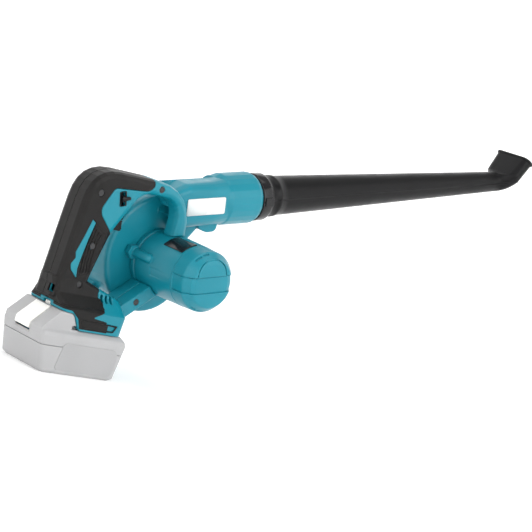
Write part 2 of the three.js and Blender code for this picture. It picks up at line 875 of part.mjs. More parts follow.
// ---------------------------------------------------------------------------------------------------------
// Nozzle: spigot, flange, taper, bend and flat tip

function nozzleForm(inset, overrun) {
  const start = collarEnd + gap;
  const bendX = start + nozzleLength;
  const bendRadius = 26;
  const lead = bendRadius * Math.tan(tipAngle / 2);
  const rings = [];
  const straight = (x, outer) => {
    const radius = outer - inset;
    const centre = new THREE.Vector3(x, outletY, outletZ);
    rings.push(ring(centre, alongY, alongZ, radius, radius, radius, 6));
  };
  const spigotRadius = outletBore - gap;
  straight(start - spigotLength - overrun, spigotRadius);
  if (inset === 0) {
    straight(start, spigotRadius);
    straight(start, nozzleFlange);
    straight(start + nozzleFlangeLength, nozzleFlange);
    straight(start + nozzleFlangeLength + 2, nozzleRoot);
  } else {
    straight(start + nozzleFlangeLength, spigotRadius);
  }
  straight(bendX - lead, nozzleEnd);
  const steps = 4;
  for (let i = 1; i <= steps + 1; i++) {
    const share = Math.min(i / steps, 1);
    const angle = share * tipAngle;
    const along = i > steps ? tipLength - lead + overrun : 0;
    const centre = new THREE.Vector3(
      bendX - lead + bendRadius * Math.sin(angle) + along * Math.cos(angle),
      outletY,
      outletZ + bendRadius * (1 - Math.cos(angle)) + along * Math.sin(angle),
    );
    const across = new THREE.Vector3(-Math.sin(angle), 0, Math.cos(angle));
    const flatness = i > steps ? 1 : share * 0.6;
    const halfWidth = THREE.MathUtils.lerp(nozzleEnd, tipHalfWidth, flatness) - inset;
    const halfHeight = THREE.MathUtils.lerp(nozzleEnd, tipHalfHeight, flatness) - inset;
    const round = Math.min(halfWidth, halfHeight);
    rings.push(ring(centre, alongY, across, halfWidth, halfHeight, round, 6));
  }
  return loft(rings);
}
const lockTab = box(
  [collarEnd + gap + 3, collarEnd + gap + 14],
  [outletY - nozzleFlange - 1, outletY - nozzleFlange + 3],
  [outletZ - 5, outletZ + 5],
);
add(head, 'nozzle', cut(join(nozzleForm(0, 0), lockTab), nozzleForm(nozzleWall, 1)), blackPlastic);

// ---------------------------------------------------------------------------------------------------------
// Controls

const switchFront = triggerRear - triggerTravel - gap;
const switchHalf = halfHandle - wall - rubberThickness - 0.4 - gap;
const switchBottom = 100;
const switchBody = box([20, switchFront], [-switchHalf, switchHalf], [switchBottom, 136]);
add(tool, 'switch_body', switchBody, blackPlastic);

const springPocket = 10;
const triggerMiddle = (triggerLow + triggerHigh) / 2;
const triggerOutline = outline([
  [triggerRear, triggerLow, 0],
  [70.5, triggerLow, 4],
  [66.5, triggerMiddle, 8],
  [72.3, triggerHigh, 4],
  [triggerRear, triggerHigh, 0],
]);
const springHoleGeometry = new THREE.CylinderGeometry(4, 4, springPocket + 1, 16);
springHoleGeometry.rotateZ(Math.PI / 2);
springHoleGeometry.translate(triggerRear + (springPocket - 1) / 2, 0, triggerMiddle - 2);
const triggerBody = cut(slab(triggerOutline, -triggerHalf, triggerHalf, 1), solid(springHoleGeometry));
add(tool, 'trigger', triggerBody, blackPlastic);
const triggerSpring = spring(3, triggerRear + springPocket - switchFront - 2 * gap, 5, 0.5);
triggerSpring.rotateY(Math.PI / 2);
add(tool, 'trigger_spring', solid(triggerSpring), steel)
  .position.set(switchFront + gap, 0, triggerMiddle - 2);

const leverNeck = bar(leverX, leverZ, leverHalf, 3, leverLean, -halfHandle - 2.5, -switchHalf);
const leverPlate = bar(leverX, leverZ, leverHalf + 2, 6, leverLean, -switchHalf, -switchHalf + 1.6);
add(tool, 'speed_lever', join(leverNeck, leverPlate), blackPlastic);

// ---------------------------------------------------------------------------------------------------------
// Contacts and leads in the foot

const blockMiddle = (deckRise + blockHeight) / 2;
const blade = (side, grow) => box(
  [blockFront + 1 - bladeLength - grow, blockFront + 0.7 + grow],
  [side * bladeY - bladeThickness / 2 - grow, side * bladeY + bladeThickness / 2 + grow],
  [blockMiddle - 3 - grow, blockMiddle + 3 + grow],
);
const terminalBlock = box(
  [blockFront + 1, blockFront + 10 - gap],
  [-22, 22],
  [footSkirt + gap, socketTop - gap],
);
add(tool, 'terminal_block', terminalBlock, blackPlastic);
add(tool, 'terminal_blade_left', blade(1, 0), brass);
add(tool, 'terminal_blade_right', blade(-1, 0), brass);

[-1, 1].forEach((side) => {
  const y = side * 6;
  const lead = wire([
    [80, y, socketTop + 0.3],
    [79, y, 27],
    [50, y, 31],
    [21, y, 44],
    [22, y, 75],
    [24, y, switchBottom - gap],
  ], 1.3, 18);
  add(tool, side > 0 ? 'lead_positive' : 'lead_negative', lead, side > 0 ? copper : carbon);
});

// ---------------------------------------------------------------------------------------------------------
// Battery pack; heights here are from its base

function packForm(inset) {
  const half = batteryWidth / 2 - inset;
  const low = (z) => -heelOverhang * z / batteryHeight + inset;
  const high = (z) => batteryLength + toeOverhang * z / batteryHeight - inset;
  const shoulder = batteryHeight - 4;
  const top = batteryHeight + deckRise - inset;
  return tower([
    [inset, low(0) + 3, high(0) - 3, half - 3, 5],
    [3 + inset, low(3), high(3), half, 5],
    [shoulder, low(shoulder), high(shoulder), half, 5],
    [batteryHeight - inset / 2, low(shoulder) + 1.2, high(shoulder) - 1.2, half - 1.2, 5],
    [top, low(shoulder) + 6, high(shoulder) - 6, half - 5, 5],
  ]);
}

const packInner = packForm(2.2);
const packShell = cut(packForm(0), packInner);
const beltLow = box([-farSide, farSide], [-farSide, farSide], [-1, batterySeam]);
const beltHigh = box([-farSide, farSide], [-farSide, farSide], [batterySeam + gap, farSide]);
add(battery, 'battery_tray', packShell.intersect(beltLow), packPlastic);

// The hump follows the foot's skirt, and slopes down to the heel
const slopeOutline = outline([
  [-farSide, -farSide, 0],
  [farSide, -farSide, 0],
  [farSide, 60, 0],
  [10, humpHeight - 0.5, 0],
  [-heelOverhang + 1, 3, 0],
  [-farSide, 3, 0],
]);
const hump = slab(skirtOutline, -blockHalf - 3, blockHalf + 3)
  .translate([-gap, 0, -gap])
  .intersect(box([-heelOverhang + 1, 36], [-farSide, farSide], [-4, farSide]))
  .intersect(slab(slopeOutline, -farSide, farSide));
const grooves = [-1, 1].map((side) => {
  const faces = [side * (blockHalf + 5), side * (blockHalf - railDepth)].sort((p, q) => p - q);
  return box([blockBack + 11, farSide], faces, [railLow - 0.4, railLow + railHeight + 0.4]);
});
const bladeSlots = [-1, 1].map((side) => box(
  [blockFront - bladeLength - 1, farSide],
  [side * bladeY - 1.2, side * bladeY + 1.2],
  [blockMiddle - 4, blockMiddle + 4],
));
const contactBlock = cut(
  join(box([blockBack, blockFront], [-blockHalf, blockHalf], [0, blockHeight]), hump),
  ...grooves,
  ...bladeSlots,
);

// Release button: a plate on the slope, a bridge inside the hump and a hook that locks in the foot
const buttonPlate = outline([
  [8.5, humpHeight - 0.5, 1],
  [-heelOverhang - 0.4, 3.5, 2],
  [-heelOverhang - 0.4, -4, 1],
  [-heelOverhang + 2.5, -4, 0],
  [-heelOverhang + 5, 4, 0],
  [8.5, humpHeight - 6, 0],
]);
const hookTop = latchTop - 0.8;

function buttonForm(grow) {
  const half = buttonWidth / 2 + grow;
  return join(
    slab(buttonPlate, -half, half, 0, -grow),
    box([-3 - grow, 19.5 + grow], [-5.5 - grow, 5.5 + grow], [9 - grow, 13 + grow]),
    box([14.5 - grow, 19.5 + grow], [-5.5 - grow, 5.5 + grow], [10, hookTop + grow]),
  );
}

const sweepSteps = 4;
const buttonSweep = Array.from({ length: sweepSteps + 1 }, (_, i) => {
  return buttonForm(0.45).translate([0, 0, -i * (buttonTravel + 0.4) / sweepSteps]);
});
const springX = 8;
const springWell = box([springX - 4, springX + 4], [-4, 4], [1.4, 9]);
const deckUp = [0, 0, batteryHeight];
const coverBody = cut(
  join(packShell.intersect(beltHigh), cut(contactBlock.translate(deckUp), packInner)),
  ...buttonSweep.map((form) => form.translate(deckUp)),
  springWell.translate(deckUp),
);
add(battery, 'battery_cover', coverBody, packPlastic);
add(battery, 'battery_button', buttonForm(0).translate(deckUp), buttonPlastic);
const buttonSpring = solid(spring(2.6, 9 - 1.4 - 2 * gap, 3, 0.4));
add(battery, 'button_spring', buttonSpring, steel)
  .position.set(springX, 0, batteryHeight + 1.4 + gap);

const cellPitch = 2 * cellRadius + 0.4;
const firstCell = batteryLength / 2 - (cellColumns - 1) * cellPitch / 2;
for (let row = 0; row < cellRows; row++) {
  for (let column = 0; column < cellColumns; column++) {
    const x = firstCell + column * cellPitch;
    const z = 3 + cellRadius + row * cellPitch;
    const body = rod(cellRadius, -cellLength / 2, cellLength / 2, 0, 0, 16);
    add(battery, `cell_${row * cellColumns + column + 1}`, body, cellWrap).position.set(x, 0, z);
  }
}

export default blower;
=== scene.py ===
"""Cordless leaf blower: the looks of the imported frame.

Lengths are millimetres and are turned to metres where a mesh is made.
"""
import json
import math

import bmesh
import bpy
from mathutils import Matrix, Vector


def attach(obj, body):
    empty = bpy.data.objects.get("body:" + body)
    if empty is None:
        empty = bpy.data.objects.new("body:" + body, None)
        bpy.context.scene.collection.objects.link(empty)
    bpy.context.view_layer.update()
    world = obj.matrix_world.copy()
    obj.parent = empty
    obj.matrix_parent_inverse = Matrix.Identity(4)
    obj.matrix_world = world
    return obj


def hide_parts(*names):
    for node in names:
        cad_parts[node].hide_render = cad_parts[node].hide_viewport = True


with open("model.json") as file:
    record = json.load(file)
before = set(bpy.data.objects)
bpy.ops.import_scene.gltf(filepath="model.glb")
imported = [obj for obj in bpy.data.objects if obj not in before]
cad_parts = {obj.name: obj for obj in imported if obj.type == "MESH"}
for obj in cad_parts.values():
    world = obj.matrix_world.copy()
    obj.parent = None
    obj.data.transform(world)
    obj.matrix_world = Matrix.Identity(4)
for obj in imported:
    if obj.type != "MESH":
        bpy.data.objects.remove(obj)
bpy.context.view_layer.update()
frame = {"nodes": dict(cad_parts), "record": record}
scene = bpy.context.scene

# ----------------------------------------------------------------------------------------------
# Places: the tool frame starts at the rear edge of the battery's deck, the head frame on the
# motor's axis

MM = 0.001
PITCH = math.radians(13)
TOOL = Matrix.Translation((-48, 0, 43))
HEAD = TOOL @ Matrix.Translation((151, 0, 86)) @ Matrix.Rotation(-PITCH, 4, "Y")
ROW = Matrix.Identity(4)
OUTLET_Y = 24
OUTLET_Z = 62

# ----------------------------------------------------------------------------------------------
# Mesh helpers


def make(name, points, faces, where=ROW):
    """A mesh object from points in millimetres in the frame named by where."""
    mesh = bpy.data.meshes.new(name)
    mesh.from_pydata([(where @ Vector(p)) * MM for p in points], [], faces)
    mesh.validate()
    obj = bpy.data.objects.new(name, mesh)
    scene.collection.objects.link(obj)
    bpy.context.view_layer.objects.active = obj
    mesh.polygons.foreach_set("use_smooth", [True] * len(mesh.polygons))
    outward(obj)
    return obj


def outward(obj):
    """Turns a closed mesh's faces outwards."""
    work = bmesh.new()
    work.from_mesh(obj.data)
    bmesh.ops.recalc_face_normals(work, faces=work.faces)
    work.to_mesh(obj.data)
    work.free()


def rounded(corners, steps=8):
    """A closed outline from (x, z, radius) corners, each radius a true arc."""
    points = []
    count = len(corners)
    for i, (x, z, radius) in enumerate(corners):
        corner = Vector((x, z))
        if radius <= 0:
            points.append(corner)
            continue
        back = (Vector(corners[i - 1][:2]) - corner).normalized()
        ahead = (Vector(corners[(i + 1) % count][:2]) - corner).normalized()
        half = back.angle(ahead) / 2
        centre = corner + (back + ahead).normalized() * (radius / math.sin(half))
        reach = radius / math.tan(half)
        start, end = corner + back * reach - centre, corner + ahead * reach - centre
        turn = start.angle_signed(end)
        for step in range(steps + 1):
            angle = -turn * step / steps
            points.append(centre + Matrix.Rotation(angle, 2) @ start)
    return [(p.x, p.y) for p in points]


def prism(name, outline, low, high, where=ROW):
    """An XZ outline made thick along Y."""
    count = len(outline)
    points = [(x, low, z) for x, z in outline] + [(x, high, z) for x, z in outline]
    faces = [(i, (i + 1) % count, count + (i + 1) % count, count + i) for i in range(count)]
    faces += [tuple(range(count)), tuple(range(count, 2 * count))]
    return make(name, points, faces, where)


def block(name, x, y, z, where=ROW):
    """A box from (low, high) pairs, used to carve or to join."""
    outline = [(x[0], z[0]), (x[1], z[0]), (x[1], z[1]), (x[0], z[1])]
    return prism(name, outline, y[0], y[1], where)


def turned(name, profile, where=ROW, centre=(0, 0), sides=128):
    """A closed body turned about Y at centre, from (radius, y) points."""
    points, rings = [], []
    for radius, y in profile:
        if radius < 1e-6:
            rings.append([len(points)] * sides)
            points.append((centre[0], y, centre[1]))
            continue
        rings.append(list(range(len(points), len(points) + sides)))
        for i in range(sides):
            angle = 2 * math.pi * i / sides
            x = centre[0] + radius * math.cos(angle)
            z = centre[1] + radius * math.sin(angle)
            points.append((x, y, z))
    faces = []
    pairs = list(zip(rings, rings[1:]))
    if profile[0][0] > 1e-6:
        pairs.append((rings[-1], rings[0]))
    for one, two in pairs:
        for i in range(sides):
            j = (i + 1) % sides
            face = []
            for corner in (one[i], one[j], two[j], two[i]):
                if corner not in face:
                    face.append(corner)
            if len(face) > 2:
                faces.append(tuple(face))
    return make(name, points, faces, where)


def loft(name, rings, where=ROW, closed=False):
    """A skin over rings of equal counts: an open one gets end caps, a closed one joins its ends."""
    count = len(rings[0])
    points = [p for ring in rings for p in ring]
    faces = []
    for level in range(len(rings) - (0 if closed else 1)):
        low, high = level * count, (level + 1) % len(rings) * count
        for i in range(count):
            j = (i + 1) % count
            faces.append((low + i, low + j, high + j, high + i))
    if not closed:
        faces += [tuple(range(count)), tuple(range(len(points) - count, len(points)))]
    return make(name, points, faces, where)


def oval(centre, u_axis, v_axis, u, v, round_by, per_corner=16):
    """A ring with round corners: u and v are half sizes along two directions."""
    centre, u_axis, v_axis = Vector(centre), Vector(u_axis), Vector(v_axis)
    ring = []
    for quarter, (su, sv) in enumerate(((1, 1), (-1, 1), (-1, -1), (1, -1))):
        for i in range(per_corner):
            angle = (quarter + i / (per_corner - 1)) * math.pi / 2
            ring.append(
                centre
                + u_axis * (su * (u - round_by) + round_by * math.cos(angle))
                + v_axis * (sv * (v - round_by) + round_by * math.sin(angle))
            )
    return ring


def baked(obj):
    """Applies every modifier."""
    graph = bpy.context.evaluated_depsgraph_get()
    mesh = bpy.data.meshes.new_from_object(obj.evaluated_get(graph))
    old = obj.data
    obj.modifiers.clear()
    obj.data = mesh
    mesh.name = obj.name
    if old.users == 0:
        bpy.data.meshes.remove(old)
    return obj


def combine(obj, others, operation):
    """Joins others to obj or carves them out of it, and removes them."""
    for other in others:
        tool = obj.modifiers.new("combine", "BOOLEAN")
        tool.operation = operation
        tool.solver = "MANIFOLD"
        tool.object = other
        baked(obj)
        bpy.data.objects.remove(other)
    return obj


def carve(obj, *others):
    return combine(obj, others, "DIFFERENCE")


def join(obj, *others):
    return combine(obj, others, "UNION")


def copy_of(node, name):
    """A copy of a CAD node to work on."""
    obj = bpy.data.objects.new(name, frame["nodes"][node].data.copy())
    scene.collection.objects.link(obj)
    work = bmesh.new()
    work.from_mesh(obj.data)
    bmesh.ops.remove_doubles(work, verts=work.verts, dist=1e-6)
    work.to_mesh(obj.data)
    work.free()
    return obj


def moulded(obj, voxel, passes):
    """Softens every edge as a mould does: a fine even mesh, then smoothed."""
    remesh = obj.modifiers.new("even", "REMESH")
    remesh.mode = "VOXEL"
    remesh.voxel_size = voxel * MM
    remesh.use_smooth_shade = True
    smooth = obj.modifiers.new("soften", "SMOOTH")
    smooth.factor = 0.5
    smooth.iterations = passes
    baked(obj)
    obj.data.polygons.foreach_set("use_smooth", [True] * len(obj.data.polygons))
    return obj


def dress(obj, material, body, slot, *nodes):
    """Gives a piece its material, its body and the CAD nodes that it stands for."""
    obj.data.materials.clear()
    obj.data.materials.append(material)
    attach(obj, body)
    if nodes:
        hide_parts(*nodes)


# ----------------------------------------------------------------------------------------------
# Materials


def surface(
    name, colour, rough, grain=0.12, grain_size=0.35, drift=0.05, wear=0.12, metal=0.0,
    brushed=False, sheen=0.5,
):
    """A moulded or metal surface: grain, slow colour drift, uneven gloss and paler worn edges."""
    material = bpy.data.materials.new(name)
    material.use_nodes = True
    nodes, links = material.node_tree.nodes, material.node_tree.links
    shader = nodes["Principled BSDF"]
    shader.inputs["Metallic"].default_value = metal
    shader.inputs["IOR"].default_value = 1.48
    shader.inputs["Specular IOR Level"].default_value = sheen
    place = nodes.new("ShaderNodeTexCoord")
    mapping = nodes.new("ShaderNodeMapping")
    if brushed:
        mapping.inputs["Scale"].default_value = (1, 0.06, 1)
    links.new(place.outputs["Object"], mapping.inputs["Vector"])

    def noise(scale, detail):
        node = nodes.new("ShaderNodeTexNoise")
        node.inputs["Scale"].default_value = scale
        node.inputs["Detail"].default_value = detail
        links.new(mapping.outputs["Vector"], node.inputs["Vector"])
        return node.outputs["Fac"]

    def spread(source, low, high, out_low, out_high):
        node = nodes.new("ShaderNodeMapRange")
        node.inputs["From Min"].default_value = low
        node.inputs["From Max"].default_value = high
        node.inputs["To Min"].default_value = out_low
        node.inputs["To Max"].default_value = out_high
        links.new(source, node.inputs["Value"])
        return node.outputs["Result"]

    def mix(factor, one, two):
        node = nodes.new("ShaderNodeMix")
        node.data_type = "RGBA"
        links.new(factor, node.inputs["Factor"])
        for socket, value in (("A", one), ("B", two)):
            target = [s for s in node.inputs if s.name == socket and s.type == "RGBA"][0]
            if isinstance(value, tuple):
                target.default_value = value
            else:
                links.new(value, target)
        return [s for s in node.outputs if s.type == "RGBA"][0]

    dark = tuple(c * (1 - drift) for c in colour) + (1,)
    light = tuple(min(c * (1 + drift) + drift * 0.01, 1) for c in colour) + (1,)
    slow = spread(noise(14, 3), 0.35, 0.65, 0, 1)
    body = mix(slow, dark, light)
    speck = spread(noise(1500, 2), 0.3, 0.7, 0, 0.18)
    body = mix(speck, body, light)
    geometry = nodes.new("ShaderNodeNewGeometry")
    edge = spread(geometry.outputs["Pointiness"], 0.515, 0.58, 0, wear)
    worn = tuple(min(c * 1.25 + 0.08, 1) for c in colour) + (1,)
    links.new(mix(edge, body, worn), shader.inputs["Base Color"])
    gloss = spread(noise(60, 4), 0.3, 0.7, rough - 0.05, rough + 0.07)
    links.new(gloss, shader.inputs["Roughness"])
    bump = nodes.new("ShaderNodeBump")
    bump.inputs["Strength"].default_value = grain
    bump.inputs["Distance"].default_value = 0.0004
    links.new(noise(500 / grain_size, 2), bump.inputs["Height"])
    links.new(bump.outputs["Normal"], shader.inputs["Normal"])
    return material


SHELL = surface(
    "teal_shell", (0.002, 0.215, 0.285), 0.34, grain=0.10, grain_size=0.5, wear=0.10, sheen=0.42)
RUBBER = surface(
    "grip_rubber", (0.010, 0.0092, 0.0088), 0.46, grain=0.30, grain_size=0.6, drift=0.10,
    wear=0.03, sheen=0.22)
BLACK = surface(
    "black_plastic", (0.007, 0.007, 0.008), 0.40, grain=0.14, grain_size=0.45, wear=0.02,
    sheen=0.25)
NOZZLE = surface(
    "nozzle_plastic", (0.005, 0.005, 0.0055), 0.34, grain=0.10, grain_size=0.5, wear=0.02,
    sheen=0.18)
GLOSS = surface(
    "gloss_black", (0.006, 0.006, 0.007), 0.14, grain=0.03, grain_size=0.6, wear=0.01, sheen=0.45)
OXIDE = surface(
    "black_screw", (0.03, 0.03, 0.032), 0.42, grain=0.2, grain_size=0.4, wear=0.05, sheen=0.4)
PACK = surface(
    "pack_grey", (0.40, 0.40, 0.405), 0.38, grain=0.08, grain_size=0.5, wear=0.05)
PANEL_GREY = surface(
    "panel_grey", (0.36, 0.36, 0.365), 0.34, grain=0.05, grain_size=0.5, wear=0.04)
BUTTON = surface(
    "button_white", (0.93, 0.92, 0.88), 0.38, grain=0.08, grain_size=0.5, wear=0.04)
PLATE = surface(
    "plate_white", (0.86, 0.87, 0.86), 0.25, grain=0.02, grain_size=0.8, drift=0.02, wear=0.0)
STEEL = surface(
    "bright_steel", (0.55, 0.56, 0.58), 0.30, grain=0.10, grain_size=0.3, metal=1.0, brushed=True)
LAMINATE = surface(
    "laminations", (0.30, 0.30, 0.31), 0.45, grain=0.30, grain_size=0.3, metal=1.0, brushed=True)
COPPER = surface("copper", (0.72, 0.32, 0.14), 0.30, grain=0.10, metal=1.0, brushed=True)
CARBON = surface("carbon", (0.025, 0.025, 0.027), 0.6, grain=0.3)
BRASS = surface("brass", (0.75, 0.55, 0.22), 0.28, grain=0.10, metal=1.0, brushed=True)
CELL = surface("cell_wrap", (0.05, 0.22, 0.42), 0.33, grain=0.05, wear=0.03)
BY_SLOT = {
    "shell": SHELL,
    "rubber": RUBBER,
    "black_plastic": BLACK,
    "pack": PACK,
    "button": BUTTON,
    "plate": PLATE,
    "steel": STEEL,
    "laminations": LAMINATE,
    "copper": COPPER,
    "carbon": CARBON,
    "brass": BRASS,
    "cell": CELL,
}
for part in frame["record"]["subparts"]:
    mesh = frame["nodes"][part["node"]].data
    mesh.materials.clear()
    screw = "screw" in part["node"] and part["material_slot"] == "steel"
    mesh.materials.append(OXIDE if screw else BY_SLOT[part["material_slot"]])

# ----------------------------------------------------------------------------------------------
# Handle: shells, grip rubber with its ribbed panel, teal accent

GRIP_FACE = 18  # half width of the grip, and of its rubber
ACCENT = [
    (27, 120, 0.5), (32, 117, 0.5), (28.5, 99, 20), (26, 78, 12), (25, 66, 6), (27, 55.5, 0.5),
    (17, 64, 3), (15, 70, 2), (19, 77, 1.5), (17, 83, 1.5), (22, 100, 30),
]
PANEL = [
    (33.2, 117, 1), (51, 103.5, 2), (43, 76, 14), (39.5, 62, 3), (28.5, 57, 2), (26.8, 66, 5),
    (27.6, 78, 14), (30, 98, 16),
]


def sink(side, depth):
    """The Y range of a cutter that goes depth into the grip's face on one side."""
    return sorted((side * (GRIP_FACE - depth), side * (GRIP_FACE + 4)))


def handle_rubber(side, node, name):
    """The overmould on one side: the accent's opening, and four grooves in a shallow panel."""
    obj = copy_of(node, name)
    opening = prism("opening", rounded(ACCENT), *sink(side, 2.6), TOOL)
    panel = prism("panel", rounded(PANEL), *sink(side, 0.7), TOOL)
    grooves = []
    for i in range(4):
        shift = 3.6 * i
        path = [
            (31 + shift, 113 - 2.6 * i),
            (28.2 + shift, 92),
            (27.6 + shift, 76),
            (29 + shift, 62 + 0.8 * i),
        ]
        right = [(x + 1.5, z) for x, z in reversed(path)]
        grooves.append(prism("groove", path + right, *sink(side, 1.9), TOOL))
    carve(obj, opening, panel, *grooves)
    moulded(obj, 0.45, 3)
    dress(obj, RUBBER, "housing", "rubber", node)


def accent(side, name):
    """The teal insert in the rubber, nearly flush with it."""
    shape = rounded(ACCENT)
    middle = Vector((sum(x for x, _ in shape), sum(z for _, z in shape))) / len(shape)
    shape = [tuple(middle + (Vector(p) - middle) * 0.985) for p in shape]
    near, far = sorted((side * 15.4, side * 17.9))
    obj = moulded(prism(name, shape, near, far, TOOL), 0.4, 4)
    dress(obj, SHELL, "housing", "shell")


LEVER_LEAN = math.radians(17)
SLOT = TOOL @ Matrix.Translation((57, 0, 147)) @ Matrix.Rotation(-LEVER_LEAN, 4, "Y")

# The rubber also wraps the foot, down to a thin rim of shell
FOOT_RUBBER = [
    (-60, 75, 0), (-60, 25, 0), (21, 25, 6), (31, 17.5, 3), (35.5, 7, 1), (72, 7, 0), (68.5, 18.6, 1),
    (50, 20.8, 0.5), (64, 28, 0.5), (64, 39, 0.5), (52, 42, 6), (41, 50, 6), (41, 75, 0),
]


def grown(obj, by):
    """Moves a smooth mesh outwards along its normals."""
    normals = [vertex.normal.copy() for vertex in obj.data.vertices]
    for vertex, normal in zip(obj.data.vertices, normals):
        vertex.co += normal * by * MM
    return obj


def handle_side(side, word):
    """Shell half, the rubber round its foot, the bumper with its window, the grip rubber."""
    shell = moulded(copy_of(f"{word}_housing", f"handle_shell_{word}"), 0.7, 5)
    if side < 0:
        carve(shell, block("slot", (-2.9, 2.9), (-30, -9), (-8.2, 8.2), SLOT))
    skin = shell.copy()
    skin.data = shell.data.copy()
    skin.name = f"foot_rubber_{word}"
    scene.collection.objects.link(skin)
    dress(shell, SHELL, "housing", "shell", f"{word}_housing")
    near, far = sorted((side * 12, side * 60))
    region = prism("region", rounded(FOOT_RUBBER), near, far, TOOL)
    combine(grown(skin, 0.45), [region], "INTERSECT")
    dress(moulded(skin, 0.45, 2), RUBBER, "housing", "rubber")
    bumper = copy_of(f"foot_pad_{word}", f"foot_bumper_{word}")
    window = rounded([(71.5, 15.2, 0.6), (82, 14.6, 0.6), (79.4, 9.8, 0.6), (71.5, 9.8, 0.6)])
    carve(bumper, prism("window", window, -50, 50, TOOL))
    dress(moulded(bumper, 0.25, 3), RUBBER, "housing", "rubber", f"foot_pad_{word}")
    handle_rubber(side, f"grip_rubber_{word}", f"grip_cover_{word}")
    accent(side, f"grip_accent_{word}")


handle_side(-1, "right")
handle_side(1, "left")

# Black plate round the lever's slot: painted shade, so that the slot reads dark round the lever
slot_shade_shape = rounded([
    (-4.6, -7.9, 0.8), (4.2, -7.9, 0.8), (4.2, 7.9, 0.8), (-4.6, 7.9, 0.8),
])
slot_shade = prism("lever_slot_shade", slot_shade_shape, -18.3, -17.4, SLOT)
carve(slot_shade, block("slot", (-2.6, 2.6), (-30, 0), (-7.4, 7.4), SLOT))
dress(slot_shade, BLACK, "housing", "black_plastic")

# ----------------------------------------------------------------------------------------------
# Fan case with duct and collar

# The duct's far upper edge slopes down from this line
SLOPE_START = 24
SLOPE_TOP = 87
SLOPE = 0.42


def slope_height(y):
    """Height of the sloping face at y."""
    return SLOPE_TOP - (y - SLOPE_START) * SLOPE


def slope_wall(thick):
    """The wall under the sloping face, narrowing with the duct."""
    rings = []
    for x, reach in ((-6, 63.8), (58, 63.6), (66, 51), (74, 50)):
        rings.append([
            (x, SLOPE_START, SLOPE_TOP - thick),
            (x, reach, slope_height(reach) - thick),
            (x, reach, slope_height(reach)),
            (x, SLOPE_START, SLOPE_TOP),
        ])
    return loft("slope_wall", rings, HEAD)


def above_slope():
    """Everything over the sloping face."""
    far, high = 90, 120
    rings = []
    for x in (2, 74):
        rings.append([
            (x, SLOPE_START, SLOPE_TOP),
            (x, far, slope_height(far)),
            (x, far, high),
            (x, SLOPE_START, high),
        ])
    return loft("above_slope", rings, HEAD)


case = copy_of("volute_housing", "fan_case")
join(case, slope_wall(4))
carve(case, above_slope())
moulded(case, 0.7, 4)
dress(case, SHELL, "housing", "shell", "volute_housing")
cover = copy_of("volute_cover", "fan_cover")
carve(cover, above_slope())
moulded(cover, 0.6, 4)
dress(cover, SHELL, "housing", "shell", "volute_cover")
grille = moulded(copy_of("intake_grille", "intake_guard"), 0.45, 4)
dress(grille, BLACK, "housing", "black_plastic", "intake_grille")
plate_shape = rounded([(19, 71.3, 2), (71, 71.3, 2), (71, 52.7, 2), (19, 52.7, 2)])
plate = prism("duct_label_blank", plate_shape, -3.9, -3.2, HEAD)
dress(plate, PLATE, "housing", "plate", "duct_plate")

# ----------------------------------------------------------------------------------------------
# Motor housing and end cap

motor = turned("motor_body", [
    (32, -54.7), (34, -54.7), (35, 4), (35, 8.4), (33.6, 8.9), (33.6, 10.3), (35.2, 10.8),
    (35.4, 16.6), (32, 16.6),
], HEAD)
RIB_ANGLE = math.radians(160)
RIB_RADIUS = 5
rib_x, rib_z = 36 * math.cos(RIB_ANGLE), 36 * math.sin(RIB_ANGLE)
rib_end = []
for k in range(8, -1, -1):
    angle = math.pi / 2 * k / 8
    rib_end.append((RIB_RADIUS * math.cos(angle), -14 - RIB_RADIUS * math.sin(angle)))
rib = turned("rib", rib_end + [(RIB_RADIUS, 16.6), (0, 16.6)], HEAD, (rib_x, rib_z), 48)
lug_place = (rib_x * 1.06, rib_z * 1.06)
lug = turned("lug", [(0, 9), (8.2, 9), (8.2, 16.6), (0, 16.6)], HEAD, lug_place, 6)
strip = block("strip", (-40, -30), (-54.9, -18), (-4.6, 4.6), HEAD)
carve(strip, turned("under_strip", [(0, -60), (34, -60), (34, 0), (0, 0)], HEAD))
join(motor, rib, lug)
carve(motor, turned("bore", [(0, -60), (32, -60), (32, 20), (0, 20)], HEAD), strip)
moulded(motor, 0.5, 4)
dress(motor, SHELL, "housing", "shell", "motor_housing")


def arc_patch(name, radius, thick, low_angle, high_angle, y_low, y_high, steps=24):
    """A curved plate on a cylinder about the motor's axis."""
    section = []
    for r, order in ((radius, range(steps + 1)), (radius + thick, range(steps, -1, -1))):
        for k in order:
            angle = math.radians(low_angle + (high_angle - low_angle) * k / steps)
            section.append((r * math.cos(angle), r * math.sin(angle)))
    return prism(name, section, y_low, y_high, HEAD)


rating = moulded(arc_patch("motor_rating_blank", 34.2, 1.2, 92, 126, -52.5, -20), 0.25, 2)
dress(rating, GLOSS, "housing", "black_plastic", "motor_plate")

cap = turned("motor_cap", [
    (31.4, -55), (33.8, -55), (33.2, -72), (32.6, -73.6), (27, -81.6), (25.6, -83), (22, -83.6),
    (0, -84.2), (0, -80), (24, -80), (31.4, -71),
], HEAD)


def cap_skin(depth, low, high):
    """The outermost layer of the cap between two heights, for a shallow recess."""
    body = block("skin", (-40, 40), (-90, -56.5), (low, high), HEAD)
    return carve(body, turned("inner", [
        (0, -50),
        (33.9 - depth, -50),
        (33.2 - depth, -72),
        (32.6 - depth, -73.6),
        (27 - depth, -81.6 + depth),
        (22 - depth, -83.6 + depth),
        (0, -84.2 + depth),
    ], HEAD))


